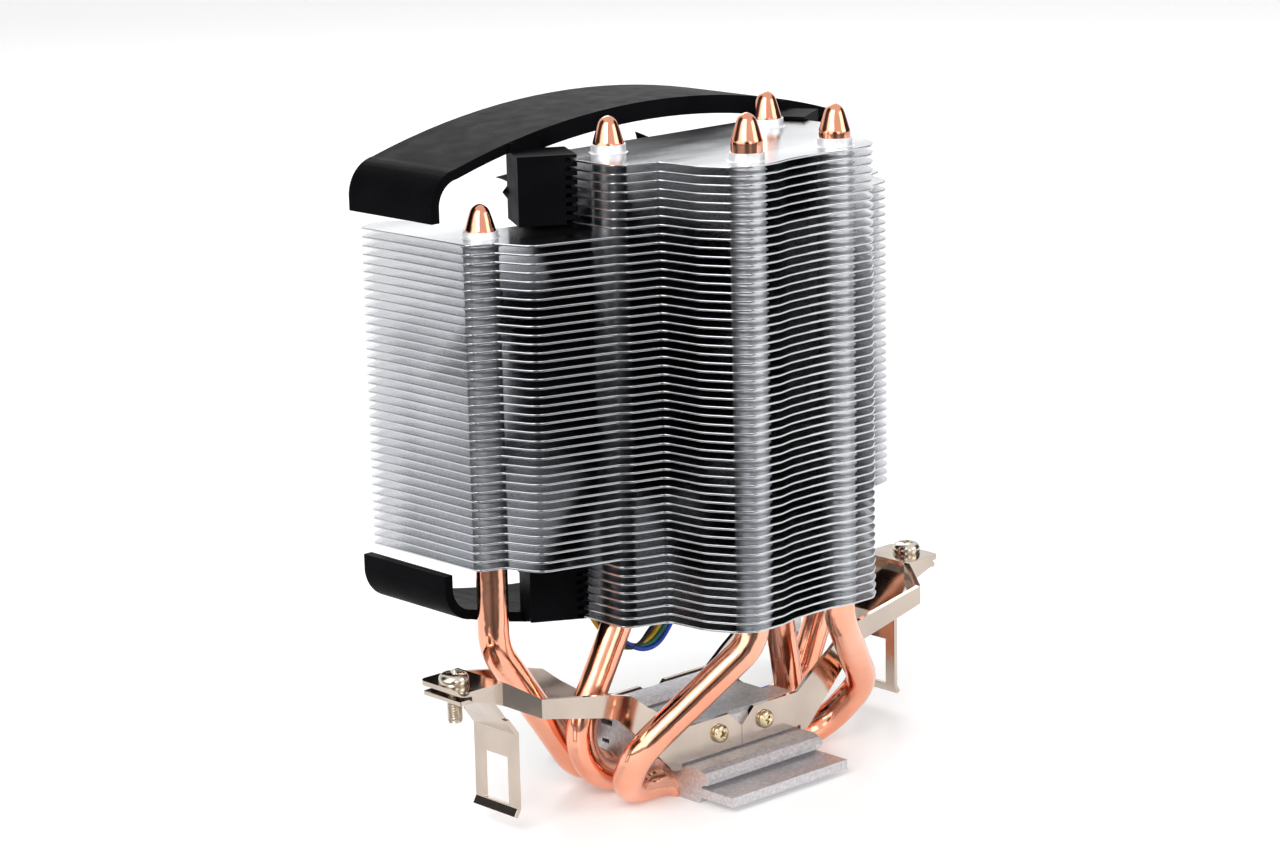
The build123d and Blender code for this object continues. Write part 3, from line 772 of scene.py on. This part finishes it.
HEAD_SEAT_Z, SHANK_END_Z = 31.2, 23.4
TENSION_SCREW_X = 61.5
TENSION_HEAD = (2.85, 2.1)  # radius and height
TENSION_HEAD_TURN = 0.5
THREAD_R, THREAD_PITCH = 1.45, 0.5
ARM_SCREW_X, ARM_SCREW_Y, ARM_SCREW_Z = 6.2, 13.1, 10.9
ARM_HEAD = (1.85, 1.2)


def cross_recess(width, depth, top):
    """Two tapered blades that cut a cross recess down from top."""
    half, thin = width / 2, width * 0.11
    mouth = (top + 0.3, half, thin * 1.25)
    foot = (top - depth, half * 0.35, thin * 0.6)
    blades = []
    for turn in (0, pi / 2):
        turned = Matrix.Rotation(turn, 4, "Z")
        rings = []
        for height, reach, thick in (mouth, foot):
            corners = ((-reach, -thick), (reach, -thick), (reach, thick), (-reach, thick))
            rings.append([turned @ Vector((x, y, height)) for x, y in corners])
        blades.append(skin(rings))
    return blades


def pan_head(radius, height):
    """A screw's head with its cross recess, seated on z 0."""
    profile = [
        (0, 0),
        (radius * 0.97, 0),
        (radius, height * 0.1),
        (radius, height * 0.42),
        (radius * 0.96, height * 0.62),
        (radius * 0.86, height * 0.82),
        (radius * 0.7, height * 0.94),
        (radius * 0.45, height * 0.99),
        (0, height),
    ]
    return cut_by(lathe(profile), cross_recess(radius * 1.15, height * 0.75, height))


def thread(radius, pitch, low, high):
    """A screw thread as a height field round the shank, from a blunt point at low."""
    around, per_turn = angles(36), 8
    point_r, point_length = 0.3 * radius, 0.25
    root = radius - 0.6 * pitch
    flank_slope, root_flat = 2.6, 0.15
    run_in = 1.5 * pitch
    steps = int((high - low) / pitch * per_turn)
    rings = [[Vector((point_r * cos(a), point_r * sin(a), low)) for a in around]]
    for k in range(steps + 1):
        z = low + point_length + (high - low - point_length) * k / steps
        ring = []
        for angle in around:
            phase = (z / pitch - angle / (2 * pi)) % 1
            lift = min(1, max(0, flank_slope * (0.5 - abs(phase - 0.5)) - root_flat))
            worn = min(1, (z - low) / run_in)
            r = root + (radius - root) * lift * worn
            ring.append(Vector((r * cos(angle), r * sin(angle), z)))
        rings.append(ring)
    return skin(rings)


def tension_screw(side, name):
    """A long screw through the tab of an arm. It turns, so it rides on its own body."""
    head = pan_head(*TENSION_HEAD)
    head.transform(Matrix.Rotation(TENSION_HEAD_TURN * side, 4, "Z"))
    into_head = 0.05
    shank = thread(THREAD_R, THREAD_PITCH, SHANK_END_Z - HEAD_SEAT_Z, into_head)
    made = joined([head, shank])
    made.transform(Matrix.Translation((side * TENSION_SCREW_X, 0, HEAD_SEAT_Z)))
    node = "tension_screw_" + name
    piece(node + "_plated", made, SCREW, "screw_" + name, [node], 40)


def screws():
    """The two tension screws, and the four heads on the arms, each stopped at its own turn."""
    tension_screw(-1, "left")
    tension_screw(1, "right")
    heads = []
    for number, (side, way) in enumerate(((-1, -1), (-1, 1), (1, -1), (1, 1))):
        head = pan_head(*ARM_HEAD)
        turned = Matrix.Rotation(0.4 + 0.9 * number, 4, "Z")
        out = Matrix.Rotation(side * -pi / 2, 4, "X") @ turned
        place = Matrix.Translation((way * ARM_SCREW_X, side * ARM_SCREW_Y, ARM_SCREW_Z))
        head.transform(place @ out)
        heads.append(head)
    nodes = ["arm_screws"]
    piece("arm_screw_heads", joined(heads), ARM_SCREW, "root", nodes, 40)


# ---- Impeller -----------------------------------------------------------------------------------

# Stations of a blade at its root, middle and tip: radius, chord, pitch and lag in degrees, camber.
BLADE_STATIONS = (
    (HUB_R - 0.6, 19.0, 46, 0, 2.2),
    (31.0, 22.5, 38, -7, 2.0),
    (BLADE_TIP_R, 24.5, 31, -18, 1.6),
)
BLADE_RINGS, BLADE_STEPS = 12, 14
TIP_SHARE = 0.25  # of the thickness, which the last ring keeps


def blade_station(t):
    """The station at share t of the blade's span, on a parabola through the three given ones."""
    a, b, c = BLADE_STATIONS
    first, second, third = (1 - t) * (1 - 2 * t), 4 * t * (1 - t), t * (2 * t - 1)
    return [first * u + second * v + third * w for u, v, w in zip(a, b, c)]


def blade_ring(t, share):
    """The closed section at share t of the span, with rounded edges and share of the thickness."""
    radius, chord, pitch, lag, camber = blade_station(t)
    lag, tilt = radians(lag), radians(pitch)
    centre = Vector((radius * sin(lag), sum(HUB_Y) / 2, FAN_Z + radius * cos(lag)))
    across, along_y = Vector((cos(lag), 0, -sin(lag))), Vector((0, -1, 0))
    low, high = [], []
    for k in range(BLADE_STEPS + 1):
        u = 2 * k / BLADE_STEPS - 1
        rise = camber * (1 - u * u)
        thick = BLADE_T / 2 * share * (1 - abs(u) ** 6) ** 0.5 * (1 - 0.25 * u)
        low.append((u * chord / 2, rise + BLADE_T / 2 - thick))
        high.append((u * chord / 2, rise + BLADE_T / 2 + thick))
    outline = low[:-1] + high[:0:-1]
    ring = []
    for u, v in outline:
        x, y = u * cos(tilt) - v * sin(tilt), u * sin(tilt) + v * cos(tilt)
        ring.append(centre + across * x + along_y * y)
    return ring


def impeller():
    """Hub cup and blades, with each blade's plane set as in the CAD. The blades thin at the tip."""
    rings = []
    for k in range(BLADE_RINGS + 1):
        t = k / BLADE_RINGS
        rings.append(blade_ring(t, (1 - t**12) ** 0.5 if k < BLADE_RINGS else TIP_SHARE))
    blade = skin(rings)
    axis = Matrix.Translation((0, 0, FAN_Z))
    places = [axis @ Matrix.Rotation(a, 4, "Y") @ axis.inverted() for a in angles(BLADES)]
    blades = copies(blade, places)
    near, far = HUB_Y
    inner = HUB_R - HUB_WALL
    cup = [
        (inner, near),
        (HUB_R - 0.3, near),
        (HUB_R, near + 0.3),
        (HUB_R, far - 2.0),
        (HUB_R - 0.35, far - 1.0),
        (HUB_R - 1.0, far - 0.35),
        (HUB_R - 2.0, far),
        (12.6, far),
        (12.2, far - 0.25),
        (0, far - 0.3),
    ]
    inside = [(inner, near), (inner, far - HUB_WALL), (1.5, far - HUB_WALL)]
    turned = axis @ Matrix.Rotation(-pi / 2, 4, "X")
    made = joined([lathe(cup, turned, 96), lathe(inside, turned, 96), blades])
    piece("impeller_moulding", made, FAN_PLASTIC, "rotor", ["impeller"], 35)


# ---- Lead ---------------------------------------------------------------------------------------

# Control points of the lead from the frame's strut to the floor behind the base.
LEAD_POINTS = [
    (-27.46, 11.25, 47.17),
    (-23.5, 11.25, 43.65),
    (-21.0, 8.7, 36.8),
    (-18.0, 6.9, 30.5),
    (-13.0, 5.6, 25.8),
    (-7.0, 5.6, 25.2),
    (-1.8, 6.4, 28.7),
    (1.5, 7.8, 33.2),
    (8.0, 10.4, 33.6),
    (14.5, 13.2, 30.2),
    (21.5, 15.8, 27.2),
    (32.0, 19.0, 26.4),
    (46.0, 21.5, 25.2),
    (57.2, 24.6, 17.0),
    (57.2, 21.8, 7.0),
    (52.5, 19.0, 1.25),
    (44.5, 18.6, 1.25),
    (36.5, 18.6, 1.25),
    (29.0, 23.8, 1.25),
    (21.5, 27.8, 1.25),
]
FOLD_R = 4.85
# The put-away turns: a tied hank, whose second near run lies on the first. Its runs stand between
# the folds, each of which has a middle in plan and the heights that it climbs between.
FIRST_NEAR_RUN = [(12.0, 27.7, 1.25), (6.0, 27.7, 1.25)]
LEFT_FOLD = ((1.0, 32.55), 1.25, 1.25)
FIRST_FAR_RUN = [(5.5, 37.0, 1.25), (10.5, 35.4, 1.25), (20.0, 35.3, 1.25), (29.0, 35.95, 1.25)]
RIGHT_FOLD = ((34.5, 31.3), 1.25, 3.65)
SECOND_NEAR_RUN = [(28.5, 26.6, 3.65), (21.0, 27.7, 3.65), (12.0, 27.7, 3.65), (6.0, 27.7, 3.65)]
UPPER_FOLD = ((2.0, 32.5), 3.65, 3.65)
LAST_RUN = [
    (6.5, 36.7, 3.65),
    (10.5, 34.4, 3.65),
    (15.0, 33.0, 2.6),
    (18.5, 32.9, 1.4),
    (22.5, 32.8, 1.8),
    (26.0, 31.4, 3.8),
    (29.2, 28.6, 6.2),
    (31.8, 25.8, 6.2),
    (34.2, 23.0, 3.2),
    (38.0, 21.0, 0.95),
    (42.3, 20.8, 1.05),
    (46.8, 21.0, 1.5),
    (49.6, 22.8, 3.2),
    (51.6, 25.1, 4.8),
    (53.6, 27.1, 5.2),
]
# Under the fins the wires lie side by side and face the camera, from one length along the lead to
# another. RIBBON_FACE is the way to the camera, as an angle from +Y and a height in degrees.
RIBBON_RUN = (25, 66)
RIBBON_BLEND = 10
RIBBON_FACE = (-137, 13)
TWIST_LENGTH = 0.075  # of one turn of the round bundle, in metres
WIRE_COLORS = {
    "black": (0.02, 0.02, 0.022),
    "yellow": (0.72, 0.45, 0.02),
    "green": (0.015, 0.16, 0.12),
    "blue": (0.02, 0.07, 0.55),
}
TIE_X = 18.5
TIE_STATIONS = ((-1.5, 0.25), (-1.2, 0), (1.2, 0), (1.5, 0.25))  # along X, and how far inwards
TIE_OUTLINE = [
    (26.5, 0.05, 0.5),
    (36.6, 0.05, 0.5),
    (36.55, 2.5, 0.7),
    (29.7, 4.9, 1.0),
    (26.5, 4.9, 0.8),
]
CONNECTOR = (12.0, 10.4, 5.6)
PIN_PITCH = 2.54
PIN_HOLE, WIRE_ENTRY = (6, 1.1, 1.1), (6, 1.9, 1.9)
LATCH_SLOT, KEY_RIB = (2.2, 1.3, 2), (7, 0.9, 0.9)
CONNECTOR_PLACE = (56.5, 30.0, 5.2)
CONNECTOR_TURN = 45


def fold(centre, low, high, start):
    """Control points of a half turn of the hank, clockwise from start, which is 90 or -90 degrees.

    A short straight comes before the turn and another follows it."""
    steps = 6
    half_step = pi / steps / 2
    reach, straight = FOLD_R / cos(half_step), FOLD_R * tan(half_step)
    ahead = 1 if start > 0 else -1
    points = [(centre[0] - ahead * straight, centre[1] + ahead * FOLD_R, low)]
    for step in range(steps):
        angle = radians(start) - half_step * (1 + 2 * step)
        height = low + (high - low) * step / (steps - 1)
        points.append((centre[0] + reach * cos(angle), centre[1] + reach * sin(angle), height))
    points.append((centre[0] - ahead * straight, centre[1] - ahead * FOLD_R, high))
    return points


def lead_points():
    """Control points of the whole lead, its put-away turns with it."""
    first = FIRST_NEAR_RUN + fold(*LEFT_FOLD, -90) + FIRST_FAR_RUN + fold(*RIGHT_FOLD, 90)
    return LEAD_POINTS + first + SECOND_NEAR_RUN + fold(*UPPER_FOLD, -90) + LAST_RUN


def ribbon_share(length):
    """1 where the wires lie side by side, 0 where they are a round bundle."""
    start, end = RIBBON_RUN
    return smooth(min(max(min(length - start, end - length) / RIBBON_BLEND, 0), 1))


def nurbs_line(points):
    """The lead's centre line, read back from a smooth spline through its control points."""
    curve = bpy.data.curves.new("lead_line", "CURVE")
    curve.dimensions = "3D"
    curve.resolution_u = 12
    spline = curve.splines.new("NURBS")
    spline.points.add(len(points) - 1)
    for point, place in zip(spline.points, points):
        point.co = (*(MM * value for value in place), 1)
    spline.order_u = 3
    spline.use_endpoint_u = True
    holder = bpy.data.objects.new("lead_line", curve)
    line = bpy.data.meshes.new_from_object(holder)
    found = [vertex.co.copy() for vertex in line.vertices]
    bpy.data.objects.remove(holder)
    bpy.data.curves.remove(curve)
    bpy.data.meshes.remove(line)
    return found


def lead():
    """The insulated wires in one loose bundle, from the frame's strut to the connector."""
    line = nurbs_line(lead_points())
    places = frames_along(line, (0, 0, 1))
    run, lengths = 0.0, []
    for i, (point, _, _) in enumerate(places):
        run += (point - line[i - 1]).length if i else 0
        lengths.append(run)
    materials = [wire_material("wire_" + name, color) for name, color in WIRE_COLORS.items()]
    offset = (LEAD_R - WIRE_R) * MM
    facing = compass(*RIBBON_FACE)
    strands = []
    for number in range(WIRES):
        rings = []
        for (point, side, up), length in zip(places, lengths):
            turn = 2 * pi * (number / WIRES + length / TWIST_LENGTH)
            bundled = (side * cos(turn) + up * sin(turn)) * offset
            across = side.cross(up).cross(facing).normalized()
            flat = across * (number - (WIRES - 1) / 2) * 2 * WIRE_R * MM
            middle = point + bundled.lerp(flat, ribbon_share(length / MM))
            rings.append([middle + (side * cos(a) + up * sin(a)) * WIRE_R * MM for a in angles(10)])
        strands.append(skin(rings))
    faces_each = len(strands[0].polygons)
    nodes = ["fan_lead", "fan_lead_hank", "fan_lead_tail"]
    whole = joined(strands)
    made = shown("fan_lead_wires", whole, materials[0], "root", nodes, 40)
    for material in materials[1:]:
        made.data.materials.append(material)
    for face in made.data.polygons:
        face.material_index = face.index // faces_each
    tie = hank_tie()
    plug = connector()


def hank_tie():
    """A paper-covered wire tie round the middle of the hank."""
    loop = round_corners(TIE_OUTLINE)
    centre = sum(loop, Vector((0, 0))) / len(loop)
    rings = []
    for x, inset in TIE_STATIONS:
        ring = []
        for point in loop:
            inward = (centre - point).normalized() * inset
            ring.append(Vector((TIE_X + x, point.x + inward.x, point.y + inward.y)))
        rings.append(ring)
    white = plastic_material("tie_paper", (0.5, 0.5, 0.48), 0.5)
    return piece("lead_tie", skin(rings, caps=False), white)


def block(size, place=(0, 0, 0), edge=0.0):
    """A box about its middle, with eased edges if asked."""
    bm = bmesh.new()
    sized = Matrix.Translation(place) @ Matrix.Diagonal((*size, 1))
    bmesh.ops.create_cube(bm, size=1, matrix=sized)
    if edge:
        bmesh.ops.bevel(bm, geom=bm.edges[:], offset=edge, segments=2, affect="EDGES")
    return as_solid(bm)


def connector():
    """Four-way housing with open pin holes, wire entries, latch slots and two keying ribs."""
    length, _, height = CONNECTOR
    body = block(CONNECTOR, edge=0.35)
    cutters = []
    for way in range(WIRES):
        y = (way - (WIRES - 1) / 2) * PIN_PITCH
        cutters.append(block(PIN_HOLE, (length / 2, y, 0)))
        cutters.append(block(WIRE_ENTRY, (-length / 2, y, 0)))
        cutters.append(block(LATCH_SLOT, (-0.5, y, -height / 2)))
    made = cut_by(body, cutters)
    ribs = [block(KEY_RIB, (2.3, y, height / 2 + 0.3), 0.15) for y in (-2.6, 2.6)]
    made = joined([made, *ribs])
    turned = Matrix.Rotation(radians(CONNECTOR_TURN), 4, "Z") @ Matrix.Rotation(pi / 2, 4, "X")
    made.transform(Matrix.Translation(CONNECTOR_PLACE) @ turned)
    ivory = plastic_material("connector_nylon", (0.45, 0.44, 0.41), 0.35)
    nodes = ["fan_connector"]
    return piece("fan_connector_housing", made, ivory, "root", nodes)


# ---- Fan frame and the CAD nodes that stay ------------------------------------------------------


def carried(node, material, edge=0.0):
    """A CAD node with a node material and, where it shows, eased edges."""
    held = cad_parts[node]
    held.data.materials.clear()
    held.data.materials.append(material)
    if edge:
        weld = held.modifiers.new("weld", "WELD")
        weld.merge_threshold = 1e-6
        ease(held, edge)


def ease(made, edge):
    """Rounds a piece's sharp edges by a width in millimetres."""
    bevel = made.modifiers.new("ease", "BEVEL")
    bevel.width = edge * MM
    bevel.segments = 2
    bevel.limit_method = "ANGLE"
    bevel.angle_limit = radians(35)
    bevel.harden_normals = False


def fan_frame():
    """The frame of the CAD, with the fronts of its posts cut to a height from the fan's axis."""
    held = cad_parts["fan_frame"]
    bm = bmesh.new()
    bm.from_mesh(held.data)
    bmesh.ops.transform(bm, matrix=Matrix.Scale(1 / MM, 4) @ held.matrix_world, verts=bm.verts)
    bmesh.ops.remove_doubles(bm, verts=bm.verts, dist=0.001)
    width, depth, height = 100, 20, 6  # of the blocks taken away
    ends = []
    for way in (-1, 1):
        place = (0, POST_FRONT_Y - depth / 2, FAN_Z + way * (POST_RISE + height / 2))
        ends.append(block((width, depth, height), place))
    made = cut_by(as_solid(bm), ends)
    made = piece("fan_frame_moulding", made, FRAME_PLASTIC, "root", ["fan_frame"])
    ease(made, 0.15)
    made.modifiers.new("shading", "WEIGHTED_NORMAL").keep_sharp = True


def carried_nodes():
    """The base, arms, hooks and inner parts of the fan."""
    carried("base_block", BASE, 0.22)
    for node in ("clip_arm_left", "clip_arm_right", "hook_plate_left", "hook_plate_right"):
        carried(node, NICKEL, 0.12)
    carried("motor_pcb", board_material())
    carried("stator_core", laminated_material())
    carried("stator_coils", winding_material())
    carried("bearing_sleeve", steel_material("bronze", (0.55, 0.38, 0.18), 0.35))
    carried("rotor_shaft", SHAFT)
    carried("retaining_clip", SHAFT)
    carried("rotor_yoke", steel_material("yoke", (0.42, 0.42, 0.44), 0.3))
    carried("magnet_ring", plastic_material("ferrite", (0.05, 0.05, 0.055), 0.45, 1500))


# ---- Studio -------------------------------------------------------------------------------------


def camera():
    """The photo's camera, from its place and its three angles."""
    data = bpy.data.cameras.new("camera")
    data.lens = CAMERA_LENS
    data.sensor_width = CAMERA_SENSOR
    made = placed("camera", data)
    yaw, pitch, roll = (radians(a) for a in (CAMERA_YAW, CAMERA_PITCH, CAMERA_ROLL))
    ahead = Vector((sin(yaw) * cos(pitch), cos(yaw) * cos(pitch), -sin(pitch)))
    level_right = Vector((cos(yaw), -sin(yaw), 0))
    right = level_right * cos(roll) + level_right.cross(ahead) * sin(roll)
    turn = Matrix((right, right.cross(ahead), -ahead)).transposed().to_4x4()
    made.matrix_world = Matrix.Translation(Vector(CAMERA_PLACE) * MM) @ turn
    bpy.context.scene.camera = made


def softbox(name, place, size, power):
    """A rectangular lamp."""
    data = bpy.data.lights.new(name, "AREA")
    data.shape = "RECTANGLE"
    data.size, data.size_y = size
    data.energy = power
    made = placed(name, data)
    made.location = place
    made.rotation_mode = "QUATERNION"
    made.rotation_quaternion = (Vector(LAMP_AIM) - Vector(place)).to_track_quat("-Z", "Y")


def compass(angle, height):
    """Unit vector of a direction: angle from +Y towards +X, and height above level, in degrees."""
    angle, height = radians(angle), radians(height)
    return Vector((sin(angle) * cos(height), cos(angle) * cos(height), sin(height)))


def studio_world():
    """White for the camera. Metal sees white walls, softboxes and the dark gaps between them."""
    world = bpy.data.worlds.new("studio")
    bpy.context.scene.world = world
    world.use_nodes = True
    tree = Nodes(world.node_tree)
    ray = tree.node("ShaderNodeLightPath").outputs
    place = tree.node("ShaderNodeTexCoord").outputs["Generated"]
    walls = STUDIO_WALL
    for angle, height, outer, inner, brightness in STUDIO_PATCHES:
        toward = tree.along(place, compass(angle, height))
        edges = cos(radians(outer)), cos(radians(inner))
        patch = tree.ramp(toward, 1, brightness, *edges, interpolation_type="SMOOTHSTEP")
        walls = tree.math("MULTIPLY", patch, walls)
    glossy = tree.node("ShaderNodeMix", {"A": STUDIO_LIGHT})
    tree.link(ray["Is Glossy Ray"], glossy.inputs["Factor"])
    tree.link(walls, glossy.inputs["B"])
    seen = tree.node("ShaderNodeMix", {"B": 1.0})
    tree.link(ray["Is Camera Ray"], seen.inputs["Factor"])
    tree.link(glossy.outputs["Result"], seen.inputs["A"])
    background = world.node_tree.nodes["Background"]
    background.inputs["Color"].default_value = (1, 1, 1, 1)
    tree.link(seen.outputs["Result"], background.inputs["Strength"])


def studio_floor():
    """A white floor that keeps a soft shadow. Metal sees it end past FLOOR_FRONT."""
    bm = bmesh.new()
    bmesh.ops.create_grid(bm, x_segments=1, y_segments=1, size=FLOOR_HALF)
    floor = placed("floor", as_solid(bm))
    floor.data.name = "floor"
    floor.location = (0, 0, -FLOOR_DROP)
    white = Surface("floor_white", FLOOR_WHITE, 0.0, 0.4)
    white.shader.inputs["Specular IOR Level"].default_value = 0.2
    white.vary_roughness(white.noise(3), 0.03)
    ray = white.node("ShaderNodeLightPath").outputs
    place = white.node("ShaderNodeTexCoord").outputs["Object"]
    angle, reach = FLOOR_FRONT
    ahead = white.along(place, compass(angle, 0))
    edges = reach - FLOOR_FADE, reach + FLOOR_FADE
    past = white.ramp(ahead, 0, 1, *edges, interpolation_type="SMOOTHSTEP")
    dark = white.math("MULTIPLY", past, ray["Is Glossy Ray"])
    white.mix_color(dark, FLOOR_DARK)
    seen = white.math("MAXIMUM", ray["Is Camera Ray"], ray["Is Glossy Ray"])
    lit = white.math("SUBTRACT", seen, dark, use_clamp=True)
    glow = white.math("MULTIPLY", lit, FLOOR_GLOW)
    white.shader.inputs["Emission Color"].default_value = (1, 1, 1, 1)
    white.link(glow, white.shader.inputs["Emission Strength"])
    floor.data.materials.append(white.material)


def studio():
    studio_world()
    studio_floor()
    for lamp in SOFTBOXES:
        softbox(*lamp)


bpy.context.scene.view_settings.view_transform = "Standard"
camera()
lead()
heat_pipes()
fins()
screws()
impeller()
fan_frame()
carried_nodes()
studio()
